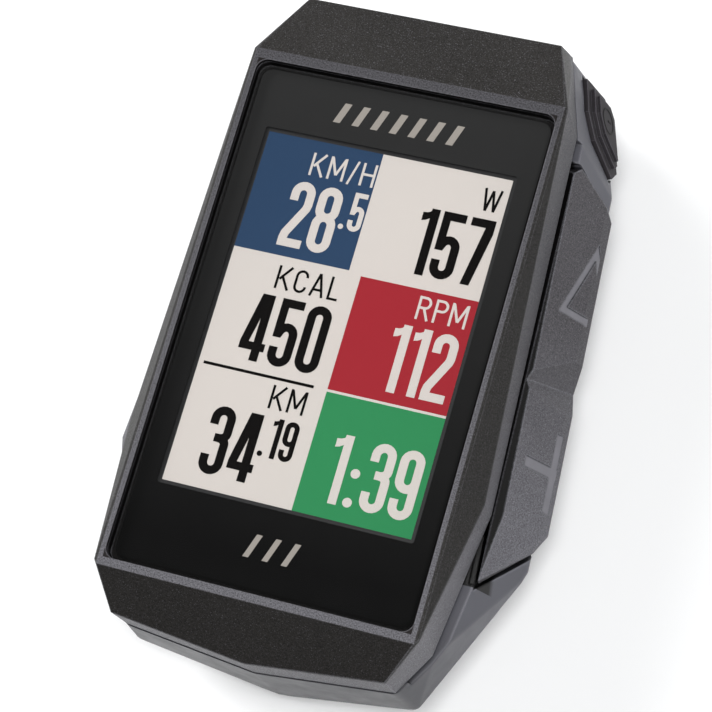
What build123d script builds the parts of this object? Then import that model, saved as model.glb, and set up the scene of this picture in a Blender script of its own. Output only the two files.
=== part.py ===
from build123d import *
import os
from itertools import combinations
from math import cos, radians, sin

# A cycling computer lying on its back, screen up. Millimetres.
# X is to the right of the screen, Y is towards the top of the screen, Z is out of the screen.
# The origin is on the axis of the quarter-turn foot, at the foot's lowest face.

# ---- Driving dimensions ------------------------------------------------------------------

FRONT_Z = 22.8  # flat rim round the cover lens
SPLIT_Z = 14.9  # where the front frame meets the rear case
BACK_Z = 2.6  # flat back of the rear case
FLOOR_Z = 4.5  # inner floor of the rear case
SHELL_WALL = 1.6
SEAM_DROP = 0.5  # thickness of the bezel, so its seam is this far below each ridge
SEAM_GAP = 0.06
SLIP = 0.05  # clearance between parts that only touch
KEY_GAP = 0.4  # clearance round a key in its pocket
REAR_ROUNDING = 1.0  # radius of the rear case's ridges

# Right half of the outline, from the top of the device to its bottom tip.
RIM_TOP = (16.4, 27.9)
RIM_FOOT = (16.4, -27.7)
TOP_CORNER = (13.6, 35.5)
TOP_CORNER_BASE = (14.0, 36.3)
SHOULDER = (16.7, 27.9)
ELBOW = (18.65, -12.4)
HEEL = (16.75, -27.3)
TOE_CORNER = (14.2, -31.7)
TOE_TIP = (0, -33.2)
TOP_BEVEL_DROP = 3.25
ELBOW_DROP = 3.35
TOE_DROP = 3.1
CORNER_DROP = 0.2  # how far shoulder and heel sit below the rim

# Screen stack, from the outside in.
LENS_SIZE = (31.0, 52.9)
LENS_OPENING = (31.8, 53.7)
LENS_RADIUS = 1.2
LENS_TOP = FRONT_Z - 0.15
LENS_BOTTOM = LENS_TOP - 1.3
SHELF_Z = LENS_BOTTOM - 0.2
SHELF_THICKNESS = 1.2
WINDOW_SIZE = (29.0, 48.6)
PANEL_SIZE = (28.0, 42.0)
PANEL_Y = 1.0
PANEL_TOP = LENS_BOTTOM - 0.25
PANEL_BOTTOM = PANEL_TOP - 1.4
BACKLIGHT_BOTTOM = PANEL_BOTTOM - 1.5

BOARD_Z = 15.8
BOARD_TOP = BOARD_Z + 1.0
BATTERY_SIZE = (23.0, 36.0, 5.2)
BATTERY_Z = 6.4
BATTERY_Y = -1.0
ROOM_HALF_WIDTH = 13.6

# The side keys lie along a line that leans with the side of the case. Points on a side are
# given as outwards from the floor of the key's pocket, along the key, and up.
SIDE_ORIGIN = (16.6, 1.8)
SIDE_LEAN = 3.8
KEY_BACK = 0.9
KEY_TOP_Z = 14.4
KEY_RIDGE_Z = 8.8
KEY_FOOT_Z = 5.4
FACE_OUT = (2.2, 5.25)  # outwards at the upper and lower edge of a key's main face
VALLEY_TOP = (1.75, 0.1, 14.4)  # upper end of the valley between a key's halves
SADDLE_CRESTS = [
    [(2.45, 1.42, 13.93), (5.35, 4.25, 8.56)],
    [(2.4, -0.85, 14.07), (5.35, -1.6, 8.56)],
]
PIVOT_OUT = 1.2
PIVOT_RADIUS = 0.4
PIVOT_HUB = (6.3, 12.3)
LUG_REACH = 0.95  # height of a pivot lug above the knuckle of the key
SWITCH_ALONG = 11.0
SWITCH_Z = 9.6

# The power button sits on the cut corner at the upper right.
POWER_CENTRE = (17.3, 31.9, 8.8)
POWER_NORMAL = (0.912, 0.323, 0.253)
POWER_OUTLINE = [
    (3.9, 3.4), (0.1, 3.8), (-2.7, 2.6), (-5.7, -1.5), (-4.6, -3.2), (1.4, -3.3), (3.4, -1.7),
]
POWER_DEPTH = 1.4
POWER_TRAVEL = 0.5
STEM_PLACE = (-1.0, 0.0)

FOOT_NECK_RADIUS = 12.5
FOOT_LUG_RADIUS = 15.2
FOOT_LUG_THICKNESS = 1.7
FOOT_LUG_ANGLE = 50
FOOT_SEAT_Z = 3.4
FOOT_RECESS_RADIUS = 16.2

PORT_Z = 10.6
PORT_SIZE = (8.2, 3.2)
FLAP_SIZE = (13.0, 6.4)
END_WALL_Y = 36.3

CASE_SCREWS = [(x, y) for x in (-10.4, 10.4) for y in (-29.0, 31.4)]
BOARD_SCREWS = [(x, y) for x in (-7.2, 7.2) for y in (-27.4, 27.6)]
FOOT_SCREWS = [(x, y) for x in (-6.0, 6.0) for y in (-6.0, 6.0)]


# ---- General helpers ---------------------------------------------------------------------

def mirrored(half):
    """A closed outline from its right half, which may end on the centre line."""
    return half + [(-x, y) for x, y in reversed(half) if x > 0]


def both_sides(points):
    """The points with their mirror images across the centre plane."""
    return points + [(-x, y, z) for x, y, z in points if x > 0]


def at_height(outline, z):
    return [(x, y, z) for x, y in outline]


def hull_planes(points):
    """Each plane that holds three of the points and has none of them outside it."""
    points = [Vector(*p) for p in points]
    centre = sum(points, Vector(0, 0, 0)) / len(points)
    found = []
    for a, b, c in combinations(points, 3):
        normal = (b - a).cross(c - a)
        if normal.length < 1e-6:
            continue
        normal = normal.normalized()
        if normal.dot(centre - a) > 0:
            normal = -normal
        outside = max(normal.dot(p - a) for p in points)
        known = any(normal.dot(n) > 1 - 1e-6 for _, n in found)
        if outside < 2e-3 and not known:
            found.append((a, normal))
    return found


def faceted(points, inset=0.0, open_top=None):
    """The solid between the hull planes of the points, each moved in by inset. With open_top, its
    flat upper face is left out, and the sides run on up to that height."""
    body = Box(200, 200, 200)
    if open_top is not None:
        body &= Pos(0, 0, open_top - 50) * Box(200, 200, 100)
    for origin, normal in hull_planes(points):
        if open_top is not None and normal.Z > 0.999:
            continue
        cut = Plane(origin=origin - normal * inset, z_dir=normal)
        body = split(body, bisect_by=cut, keep=Keep.BOTTOM)
    return body


def raised(flat, low, high, centre=(0, 0)):
    """A flat shape stood up between two heights."""
    return Pos(centre[0], centre[1], low) * extrude(flat, high - low, dir=(0, 0, 1))


def prism(outline, low, high):
    """An upright prism on a closed outline."""
    return raised(Polygon(*outline, align=None), low, high)


def block(size, low, high, centre=(0, 0), radius=0.0):
    """An upright block, with rounded upright edges where radius is given."""
    flat = RectangleRounded(*size, radius) if radius else Rectangle(*size)
    return raised(flat, low, high, centre)


def rod(radius, low, high, centre=(0, 0)):
    return raised(Circle(radius), low, high, centre)


def mirror_x(shape):
    return mirror(shape, about=Plane.YZ)


def with_mirror(shape):
    """A shape on the right side together with its mirror image."""
    return shape + mirror_x(shape)


SIDE = Plane(
    origin=(*SIDE_ORIGIN, 0),
    x_dir=(cos(radians(SIDE_LEAN)), sin(radians(SIDE_LEAN)), 0),
    z_dir=(0, 0, 1),
)
POWER = Plane(
    origin=POWER_CENTRE,
    x_dir=(-POWER_NORMAL[1], POWER_NORMAL[0], 0),
    z_dir=POWER_NORMAL,
)


def side_block(out, along, z):
    """A block on the right side between pairs of limits."""
    size = (out[1] - out[0], along[1] - along[0])
    middle = ((out[0] + out[1]) / 2, (along[0] + along[1]) / 2)
    return SIDE.location * block(size, z[0], z[1], middle)


def side_peg(radius, out, along, z):
    """A round peg that points outwards through the side wall."""
    start = Plane(origin=(out[0], along, z), x_dir=(0, 1, 0), z_dir=(1, 0, 0))
    return SIDE.location * (start.location * extrude(Circle(radius), out[1] - out[0]))


def power_rod(radius, low, high):
    """A round peg along the power button's travel."""
    return POWER.location * rod(radius, low, high, STEM_PLACE)


# ---- Outer forms -------------------------------------------------------------------------

def lower_bevel_drop(y):
    """How far the lower bevel has fallen below the rim at y."""
    return TOE_DROP * (RIM_FOOT[1] - y) / (RIM_FOOT[1] - TOE_TIP[1])


def front_points(lowered, base_z=SPLIT_Z):
    """Corners of the faceted front, with everything above the base lowered."""
    top = at_height([RIM_TOP, RIM_FOOT], FRONT_Z)
    top += [
        (*TOP_CORNER, FRONT_Z - TOP_BEVEL_DROP),
        (*SHOULDER, FRONT_Z - CORNER_DROP),
        (*ELBOW, FRONT_Z - ELBOW_DROP),
        (*HEEL, FRONT_Z - CORNER_DROP),
        (*TOE_CORNER, FRONT_Z - lower_bevel_drop(TOE_CORNER[1])),
        (*TOE_TIP, FRONT_Z - TOE_DROP),
    ]
    base = [TOP_CORNER_BASE, SHOULDER, ELBOW, HEEL, TOE_CORNER, TOE_TIP]
    return both_sides([(x, y, z - lowered) for x, y, z in top] + at_height(base, base_z))


def rear_points(upper_z=SPLIT_Z):
    """Corners of the faceted rear case."""
    upper = [TOP_CORNER_BASE, (16.8, 27.8), (18.9, -12.4), (17.0, -27.3), (14.3, -31.8), (0, -33.3)]
    waist = [(16.4, 36.2, 4.4), (20.45, 24.6, 6.6), (22.35, -15.8, 7.0), (15.2, -32.0, 7.4)]
    back = at_height([(13.5, 32.5), (17.0, 22.5), (18.6, -14.5), (10.0, -29.0)], BACK_Z)
    tip = [(0, -33.5, BACK_Z + 0.4)]
    return both_sides(at_height(upper, upper_z) + waist + back + tip)


def key_form(grow=0.0):
    """A side key's outer form, larger all round by grow."""
    upper, lower = FACE_OUT
    points = [
        (upper, 22.3, KEY_TOP_Z), (upper, -14.0, KEY_TOP_Z), (1.0, -20.9, KEY_TOP_Z),
        (2.75, 23.2, KEY_TOP_Z - 1.0), (KEY_BACK, 23.0, KEY_TOP_Z - 1.2),
        (lower, 21.0, KEY_RIDGE_Z), (lower, -14.4, KEY_RIDGE_Z), (4.6, -16.3, KEY_RIDGE_Z),
        (5.75, 19.9, 7.2), (5.7, -13.9, 7.2), (4.5, -15.9, 7.2),
        (5.0, 19.0, KEY_FOOT_Z), (5.0, -13.5, KEY_FOOT_Z),
        (KEY_BACK, -20.9, KEY_TOP_Z - 1.2),
        (KEY_BACK, 20.5, KEY_FOOT_Z), (KEY_BACK, -15.5, KEY_FOOT_Z),
    ]
    return faceted(points, -grow)


def lens_block(size, low, high):
    return block(size, low, high, radius=LENS_RADIUS)


# ---- Front -------------------------------------------------------------------------------

def front_bezel():
    body = faceted(front_points(0)) - faceted(front_points(SEAM_DROP))
    body -= block((80, 100), 0, SPLIT_Z + 1)
    return body - lens_block(LENS_OPENING, SPLIT_Z, FRONT_Z + 1)


def front_frame():
    ceiling = SHELF_Z - SHELF_THICKNESS
    body = faceted(front_points(SEAM_DROP + SEAM_GAP))
    body -= lens_block(LENS_OPENING, SHELF_Z, FRONT_Z + 1)
    body -= block(WINDOW_SIZE, 0, FRONT_Z)
    cavity = faceted(front_points(SEAM_DROP, BACK_Z), SHELL_WALL)
    body -= cavity & block((100, 100), SPLIT_Z + 0.8, ceiling)
    mouth = mirrored([(12.2, 33.0), (13.9, 26.0), (13.9, -22.0), (12.6, -30.2)])
    body -= prism(mouth, SPLIT_Z - 1, SPLIT_Z + 1)
    inside = faceted(front_points(SEAM_DROP), 0.8)
    for place in CASE_SCREWS:
        body += rod(2.0, SPLIT_Z, ceiling, place) & inside
        body -= rod(0.83, SPLIT_Z - 1, 18.4, place)
    for place in BOARD_SCREWS:
        body += rod(1.5, BOARD_TOP + SLIP, ceiling + 0.5, place) & inside
        body -= rod(0.63, 10, 19.2, place)
    return body


def cover_lens():
    body = lens_block(LENS_SIZE, LENS_BOTTOM, LENS_TOP)
    return chamfer(body.edges().group_by(Axis.Z)[-1], 0.15)


def lens_tape():
    ring = lens_block(LENS_SIZE, SHELF_Z, LENS_BOTTOM)
    return ring - block((29.4, 49.0), 0, FRONT_Z)


def display_panel():
    """Two bonded sheets of glass, the lower one longer for its row of contacts."""
    middle = PANEL_TOP - 0.7
    upper = block(PANEL_SIZE, middle, PANEL_TOP, (0, PANEL_Y))
    lower_size = (PANEL_SIZE[0], PANEL_SIZE[1] + 1.8)
    return upper + block(lower_size, PANEL_BOTTOM, middle, (0, PANEL_Y - 0.9))


def backlight():
    low, high = BACKLIGHT_BOTTOM + SLIP, PANEL_BOTTOM - SLIP
    return block((PANEL_SIZE[0], PANEL_SIZE[1] + 1.8), low, high, (0, PANEL_Y - 0.9))


def display_carrier():
    """A tray that holds the panel and backlight up under the lens."""
    low = BACKLIGHT_BOTTOM - 0.7
    flange_top = SHELF_Z - SHELF_THICKNESS - SLIP
    body = block((28.8, 48.4), low, flange_top, radius=0.8)
    body += block((29.8, 50.4), flange_top - 0.9, flange_top, radius=0.8)
    body -= block((28.2, 46.6), BACKLIGHT_BOTTOM, FRONT_Z, (0, 0.3))
    return body - block((11.0, 2.6), low - 1, FRONT_Z, (0, -23.6))


def display_flex():
    """The ribbon from the panel's contacts, down through the tray to the board."""
    ledge_z = PANEL_TOP - 0.65
    end_y = -22.6
    foot_z = BOARD_TOP + 0.62
    strap = block((9.0, 2.6), ledge_z, ledge_z + 0.15, (0, end_y + 1.2))
    strap += block((9.0, 0.15), foot_z, ledge_z + 0.15, (0, end_y - 0.1))
    return strap + block((9.0, 2.0), foot_z, foot_z + 0.15, (0, end_y - 1.1))


# ---- Board and electronics ---------------------------------------------------------------

def main_board():
    right = [(11.8, 29.8), (13.4, 22.0), (13.4, -22.0), (11.4, -29.2)]
    body = prism(mirrored(right), BOARD_Z, BOARD_TOP)
    for place in BOARD_SCREWS:
        body -= rod(0.75, 0, 30, place)
    for place in CASE_SCREWS:
        body -= rod(2.3, 0, 30, place)
    return body


def above_board(size, centre, height):
    return block(size, BOARD_TOP, BOARD_TOP + height, centre)


def below_board(size, centre, height):
    return block(size, BOARD_Z - height, BOARD_Z, centre)


def display_connector():
    return above_board((9.6, 2.6), (0, -23.9), 0.6)


def gnss_antenna():
    return above_board((9.0, 3.6), (0, 27.8), 1.2)


def radio_module():
    return below_board((8.5, 6.5), (-5.0, 16.0), 1.4)


def processor_chip():
    return below_board((7.0, 7.0), (4.5, 6.0), 0.8)


def memory_chip():
    return below_board((5.0, 6.0), (-4.0, 6.0), 0.8)


def shield_can():
    """A drawn steel lid over the processor and the memory, open towards the board."""
    body = below_board((18.0, 11.0), (0.5, 6.0), 1.7)
    return body - block((17.6, 10.6), BOARD_Z - 1.5, BOARD_Z + 1, (0.5, 6.0))


def pressure_sensor():
    return below_board((2.0, 2.0), (8.0, -20.0), 0.8)


def buzzer():
    return rod(4.5, BOARD_Z - 2.2, BOARD_Z, (7.5, -7.5))


def usb_connector():
    """A socket shell with its tongue, hung from the board and open towards the top end."""
    width, height = PORT_SIZE
    low, high = PORT_Z - height / 2, PORT_Z + height / 2
    body = block((width, 6.4), low, high, (0, 31.0))
    body -= block((width - 0.8, 6.0), low + 0.4, high - 0.4, (0, 31.6))
    body += block((width - 2.6, 4.0), PORT_Z - 0.35, PORT_Z + 0.35, (0, 30.4))
    return body + block((5.0, 1.6), high, BOARD_Z, (0, 28.8))


def battery():
    """A pouch cell with softly rounded edges and its sealed end flange."""
    width, length, height = BATTERY_SIZE
    body = block((width, length), BATTERY_Z, BATTERY_Z + height, (0, BATTERY_Y), radius=1.5)
    body = fillet(body.edges().group_by(Axis.Z)[-1], 0.9)
    flange_y = BATTERY_Y - length / 2 - 0.9
    return body + block((width - 4, 2.0), BATTERY_Z + 2.0, BATTERY_Z + 2.6, (0, flange_y))


def battery_pad():
    return block((16.0, 30.0), FLOOR_Z + 1.15, BATTERY_Z - SLIP, (0, BATTERY_Y), radius=1.0)


def battery_leads():
    """Two leads from the end of the cell up to the plug on the board."""
    start_y, turn_y, z = -20.95, -24.2, BATTERY_Z + 2.3
    leads = []
    for x in (-1.1, 1.1):
        path = FilletPolyline((x, start_y, z), (x, turn_y, z), (x, turn_y, BOARD_Z - 2.25), radius=1.2)
        leads.append(sweep(Plane(path @ 0, z_dir=path % 0) * Circle(0.4), path))
    return leads[0] + leads[1]


def battery_plug():
    return below_board((5.0, 3.4), (0, -24.2), 2.2)


# ---- Rear case ---------------------------------------------------------------------------

def side_pocket():
    """Room for the right key, open upwards as far as the front frame."""
    pocket = SIDE.location * key_form(KEY_GAP)
    pocket += side_block((0.0, 6.0), (-21.2, 23.6), (KEY_TOP_Z - 1.2, SPLIT_Z + 1))
    return pocket + side_block((0.0, 1.6), (-16.0, 21.0), (KEY_FOOT_Z - 0.35, SPLIT_Z + 1))


def switch_niche():
    """Room behind the right wall for the side board, with a hole for each switch."""
    niche = side_block((-5.0, -1.5), (-15.0, 15.0), (6.4, 12.8))
    for along in (-SWITCH_ALONG, SWITCH_ALONG):
        niche += side_peg(1.6, (-2, 0.5), along, SWITCH_Z)
    return niche


def pivot_lugs():
    """Two lugs that carry the right key's pin, above and below its hub."""
    lugs = side_block((-0.5, 1.8), (-1.2, 1.2), (4.6, PIVOT_HUB[0] - 0.1))
    return lugs + side_block((-0.5, 1.8), (-1.2, 1.2), (PIVOT_HUB[1] + 0.1, PIVOT_HUB[1] + LUG_REACH))


def power_recess():
    """The seat of the power button, the hole for its stem and the switch's niche."""
    outline = offset(Polygon(*POWER_OUTLINE, align=None), 0.35, kind=Kind.INTERSECTION)
    recess = POWER.location * raised(outline, -POWER_DEPTH, 5)
    niche = POWER.location * block((3.6, 3.6), -7.0, -3.3, STEM_PLACE)
    return recess + power_rod(1.5, -4, 0) + niche


def reveal():
    """The shadow groove under the front frame, along both sides of the case."""
    inner = [(15.9, 28.0), (16.0, 20.0), (17.8, -12.4), (16.0, -27.0), (14.3, -30.6)]
    ring = block((60, 58.0), SPLIT_Z - 1.1, SPLIT_Z + 1, (0, -1.4))
    return ring - prism(mirrored(inner), 0, 30)


def seal_track(width):
    right = [(13.0, 35.4), (14.6, 27.0), (14.45, -22.0), (14.0, -27.5), (12.9, -31.0), (0, -32.4)]
    middle = Polygon(*mirrored(right), align=None)
    return offset(middle, width / 2) - offset(middle, -width / 2)


def port_opening():
    """The socket's mouth in the top end wall, and the shallow seat of its flap."""
    width, height = FLAP_SIZE
    seat = Pos(0, END_WALL_Y, PORT_Z) * Box(width + 0.4, 2.2, height + 0.4)
    mouth = Pos(0, 34.5, PORT_Z) * Box(PORT_SIZE[0] + 0.8, 3.6, PORT_SIZE[1] + 0.9)
    anchor = Pos(0, END_WALL_Y - 0.6, PORT_Z - height / 2 - 0.5) * Box(6.1, 1.3, 1.1)
    return seat + mouth + anchor


def rear_case():
    core = faceted(rear_points(), REAR_ROUNDING, open_top=SPLIT_Z + 6)
    form = offset(core, REAR_ROUNDING, kind=Kind.ARC)
    room = faceted(rear_points(SPLIT_Z + 4), SHELL_WALL)
    room &= block((2 * ROOM_HALF_WIDTH, 100), FLOOR_Z, SPLIT_Z + 1)
    body = form - room
    body += rod(11.8, FLOOR_Z - 0.5, FLOOR_Z + 1.1)
    body -= with_mirror(side_pocket())
    body -= with_mirror(switch_niche())
    body += with_mirror(pivot_lugs())
    body -= with_mirror(SIDE.location * rod(PIVOT_RADIUS + 0.01, 4.7, 15, (PIVOT_OUT, 0)))
    body -= reveal()
    body -= rod(FOOT_RECESS_RADIUS, 0, FOOT_SEAT_Z)
    body -= rod(10.5, 0, FOOT_SEAT_Z + 0.6)
    for place in FOOT_SCREWS:
        body -= rod(0.83, 0, FLOOR_Z + 1.1, place)
    for place in CASE_SCREWS:
        body += rod(2.2, FLOOR_Z - 0.5, SPLIT_Z, place) & form
        body -= rod(1.05, 0, 30, place)
        body -= rod(1.9, 0, 6.4, place)
    body -= power_recess()
    body -= port_opening()
    body -= raised(seal_track(1.0), SPLIT_Z - 0.7, SPLIT_Z + 1)
    body -= rod(1.0, 0, 8, (0, -24.5))
    body -= rod(2.5, BACK_Z + 1.0, 8, (0, -24.5))
    return body - block((80, 100), SPLIT_Z - 0.02, 30)


def case_seal():
    return raised(seal_track(0.8), SPLIT_Z - 0.68, SPLIT_Z - 0.04)


def vent_membrane():
    return rod(2.4, BACK_Z + 1.05, BACK_Z + 1.35, (0, -24.5))


# ---- Side keys ---------------------------------------------------------------------------

def saddle():
    """The V cut between a key's halves: all that lies outside two planes that meet in a valley."""
    cut = Box(200, 200, 200)
    for crest in SADDLE_CRESTS:
        along_plane = [Vector(*point) - Vector(*VALLEY_TOP) for point in crest]
        normal = along_plane[0].cross(along_plane[1])
        outwards = normal if normal.X > 0 else -normal
        cut = split(cut, bisect_by=Plane(origin=VALLEY_TOP, z_dir=outwards), keep=Keep.TOP)
    return cut


FACE_FALL = Vector(FACE_OUT[1] - FACE_OUT[0], 0, KEY_RIDGE_Z - KEY_TOP_Z).normalized()
KEY_FACE = Plane(
    origin=(FACE_OUT[0], 0, KEY_TOP_Z),
    x_dir=(FACE_FALL.X, 0, FACE_FALL.Z),
    z_dir=FACE_FALL.cross(Vector(0, 1, 0)),
)  # x is down the face, y is along the key
MARK_DEPTH = 0.15
MARK_DOWN = 6.4  # the marks are centred on the ridge at the face's lower edge
SIGN_ALONG = -7.8
SIGN_STROKE = 1.1


def triangle_mark():
    tip, foot, half = 16.9, 8.2, 4.4
    outer = Polygon((MARK_DOWN, tip), (MARK_DOWN - half, foot), (MARK_DOWN + half, foot), align=None)
    return outer - offset(outer, -0.8)


def plus_mark():
    centre = Pos(MARK_DOWN, SIGN_ALONG)
    return centre * Rectangle(9.6, SIGN_STROKE) + centre * Rectangle(SIGN_STROKE, 8.2)


def ring_mark():
    return Pos(MARK_DOWN - 1.0, 11.5) * (Circle(3.4) - Circle(2.5))


def bar_mark():
    return Pos(MARK_DOWN, SIGN_ALONG) * Rectangle(9.6, SIGN_STROKE)


def rocker_key(marks):
    """One long key on the right side, that rocks on an upright pin behind its saddle."""
    body = key_form() - saddle()
    body += rod(0.75, *PIVOT_HUB, (PIVOT_OUT, 0))
    for low, high in ((0, PIVOT_HUB[0]), (PIVOT_HUB[1], PIVOT_HUB[1] + LUG_REACH + 0.1)):
        body -= block((2.1, 3.0), low, high, (PIVOT_OUT - 0.3, 0))
    body -= rod(PIVOT_RADIUS + 0.03, 0, PIVOT_HUB[1] + LUG_REACH, (PIVOT_OUT, 0))
    for mark in marks:
        body -= KEY_FACE.location * raised(mark, -MARK_DEPTH, 2)
    return SIDE.location * body


def key_pin():
    return SIDE.location * rod(PIVOT_RADIUS, 4.75, PIVOT_HUB[1] + LUG_REACH - 0.05, (PIVOT_OUT, 0))


def key_membrane():
    """A silicone sheet on the pocket's floor, with a stem through to each switch."""
    sheet = side_block((0.05, 0.4), (-13.5, 13.5), (7.2, 12.0))
    sheet -= side_block((-1, 3), (-1.5, 1.5), (0, 20))
    sheet += side_block((0.05, 0.4), (-2.0, 2.0), (7.2, 7.9))
    for along in (-SWITCH_ALONG, SWITCH_ALONG):
        sheet += side_peg(1.9, (0.05, 0.55), along, SWITCH_Z)
        sheet += side_peg(1.2, (-1.7, 0.1), along, SWITCH_Z)
    return sheet


def side_board():
    """A thin board behind the wall, with its tail up to the main board."""
    board = side_block((-3.4, -2.9), (-14.0, 14.0), (7.0, 12.2))
    return board + side_block((-3.55, -3.4), (-2.0, 2.0), (9.0, BOARD_Z - SLIP))


def side_switches():
    """Four low switches, two behind each key."""
    group = None
    for along in (-SWITCH_ALONG, SWITCH_ALONG):
        switch = side_block((-2.9, -2.05), (along - 1.8, along + 1.8), (SWITCH_Z - 1.5, SWITCH_Z + 1.5))
        switch += side_peg(0.7, (-2.1, -1.8), along, SWITCH_Z)
        group = switch if group is None else group + switch
    return with_mirror(group)


# ---- Power button ------------------------------------------------------------------------

def power_tier(inset, low, high):
    outline = offset(Polygon(*POWER_OUTLINE, align=None), -inset, kind=Kind.INTERSECTION)
    return POWER.location * raised(outline, low, high)


def power_button():
    """A stepped rubber cap with a dished top and a stem through the wall."""
    low = POWER_TRAVEL + 0.1 - POWER_DEPTH
    body = power_tier(0.0, low, 0.3) + power_tier(0.9, 0.2, 0.75) + power_tier(1.5, 0.7, 1.1)
    return body + power_rod(1.2, -2.75, low + 0.1)


def power_plunger():
    return power_rod(0.7, -4.3, -2.78)


def power_switch():
    """A switch with its bore for the plunger, and its tail up to the board."""
    body = POWER.location * block((3.0, 3.0), -5.6, -3.6, STEM_PLACE)
    return body - power_rod(0.75, -5.0, -3)


# ---- Foot, flap and fasteners ------------------------------------------------------------

def twist_foot():
    """The replaceable quarter-turn foot: a neck with two lugs, countersunk for its screws."""
    body = rod(FOOT_NECK_RADIUS, 0, FOOT_SEAT_Z - 0.02) + rod(10.4, 3, FOOT_SEAT_Z + 0.5)
    disc = rod(FOOT_LUG_RADIUS, 0, FOOT_LUG_THICKNESS)
    half = radians(FOOT_LUG_ANGLE / 2)
    reach = 2 * FOOT_LUG_RADIUS
    for end in (-1, 1):
        corners = [(0, 0), (reach * sin(half), end * reach * cos(half))]
        corners.append((-reach * sin(half), end * reach * cos(half)))
        body += disc & prism(corners, -1, 5)
    body = chamfer(body.edges().group_by(Axis.Z)[0], 0.4)
    for place in FOOT_SCREWS:
        body -= rod(1.06, -1, 10, place)
        body -= rod(1.95, -1, 1.7, place)
    return body


def screw(place, seat, tip, head_radius, head_height, shank_radius, socket):
    """A pan-head screw driven from below, its head under the seat."""
    body = rod(head_radius, seat - head_height, seat, place) + rod(shank_radius, seat, tip, place)
    low = seat - head_height
    return body - raised(RegularPolygon(socket, 6), low, low + 0.6 * head_height, place)


def screw_group(places, *sizes):
    group = [screw(place, *sizes) for place in places]
    return Compound(children=group)


def usb_flap():
    """The rubber cover of the socket, with the plug that seals its mouth."""
    width, height = FLAP_SIZE
    inner = END_WALL_Y - 1.05
    plate = Pos(0, (inner + END_WALL_Y) / 2, PORT_Z) * Box(width, END_WALL_Y - inner, height)
    plate = fillet(plate.edges().filter_by(Axis.Y), 0.8)
    plug = Pos(0, inner - 0.3, PORT_Z) * Box(PORT_SIZE[0] + 0.2, 0.7, PORT_SIZE[1] - 0.2)
    grip = Pos(0, END_WALL_Y + 0.15, PORT_Z + height / 2 - 1.0) * Box(7.0, 0.4, 0.6)
    return plate + plug + grip


def usb_flap_anchor():
    """The flap's root, held in the case below the living hinge."""
    place = Pos(0, END_WALL_Y - 0.6, PORT_Z - FLAP_SIZE[1] / 2 - 0.52)
    return place * Box(6.0, 1.2, 0.96)


# ---- Write the parts ---------------------------------------------------------------------

PARTS = {
    "front_bezel": front_bezel,
    "front_frame": front_frame,
    "rear_case": rear_case,
    "case_seal": case_seal,
    "cover_lens": cover_lens,
    "lens_tape": lens_tape,
    "display_panel": display_panel,
    "backlight": backlight,
    "display_carrier": display_carrier,
    "display_flex": display_flex,
    "display_connector": display_connector,
    "main_board": main_board,
    "processor_chip": processor_chip,
    "memory_chip": memory_chip,
    "shield_can": shield_can,
    "radio_module": radio_module,
    "gnss_antenna": gnss_antenna,
    "pressure_sensor": pressure_sensor,
    "vent_membrane": vent_membrane,
    "buzzer": buzzer,
    "battery": battery,
    "battery_pad": battery_pad,
    "battery_leads": battery_leads,
    "battery_plug": battery_plug,
    "usb_connector": usb_connector,
    "usb_flap": usb_flap,
    "usb_flap_anchor": usb_flap_anchor,
    "right_key": lambda: rocker_key([triangle_mark(), plus_mark()]),
    "left_key": lambda: mirror_x(rocker_key([ring_mark(), bar_mark()])),
    "right_key_pin": key_pin,
    "left_key_pin": lambda: mirror_x(key_pin()),
    "right_key_membrane": key_membrane,
    "left_key_membrane": lambda: mirror_x(key_membrane()),
    "right_side_board": side_board,
    "left_side_board": lambda: mirror_x(side_board()),
    "side_switches": side_switches,
    "power_button": power_button,
    "power_plunger": power_plunger,
    "power_switch": power_switch,
    "twist_foot": twist_foot,
    "foot_screws": lambda: screw_group(FOOT_SCREWS, 1.68, 5.3, 1.75, 1.2, 0.8, 0.85),
    "case_screws": lambda: screw_group(CASE_SCREWS, 6.38, 18.0, 1.75, 1.3, 0.8, 0.85),
    "board_screws": lambda: screw_group(BOARD_SCREWS, BOARD_Z, 18.6, 1.1, 0.7, 0.6, 0.5),
}

os.makedirs("parts", exist_ok=True)
for name, build in PARTS.items():
    export_step(build(), f"parts/{name}.step")
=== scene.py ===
import math

import bmesh
import bpy
from mathutils import Euler, Matrix, Vector
from mathutils.geometry import delaunay_2d_cdt


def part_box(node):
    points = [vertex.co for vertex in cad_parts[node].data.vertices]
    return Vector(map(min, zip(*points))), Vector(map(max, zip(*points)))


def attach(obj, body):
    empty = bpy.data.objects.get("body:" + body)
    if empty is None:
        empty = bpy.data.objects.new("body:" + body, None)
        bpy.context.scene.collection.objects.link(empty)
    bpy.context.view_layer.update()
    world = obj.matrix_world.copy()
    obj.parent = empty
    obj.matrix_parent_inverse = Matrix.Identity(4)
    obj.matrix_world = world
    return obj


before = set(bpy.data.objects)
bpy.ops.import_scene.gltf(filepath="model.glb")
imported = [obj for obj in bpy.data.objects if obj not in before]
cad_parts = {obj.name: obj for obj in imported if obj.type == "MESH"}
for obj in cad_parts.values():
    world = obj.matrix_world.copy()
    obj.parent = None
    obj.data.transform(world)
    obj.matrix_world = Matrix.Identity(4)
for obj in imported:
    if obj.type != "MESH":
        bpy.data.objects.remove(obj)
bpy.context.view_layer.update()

# The looks of a cycling computer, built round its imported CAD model. Metres; MM turns millimetres
# into metres. X is to the right of the screen, Y towards its top, Z out of it.

MM = 0.001

# ---- Colours, as the surface looks in soft light -------------------------------------------

PAPER = "#d5cec8"
INK = "#0c0a09"
BLUE = "#2e4562"
RED = "#a12b34"
GREEN = "#348a57"
PRINT_GREY = "#9b958e"

# ---- Sizes ---------------------------------------------------------------------------------

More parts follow.
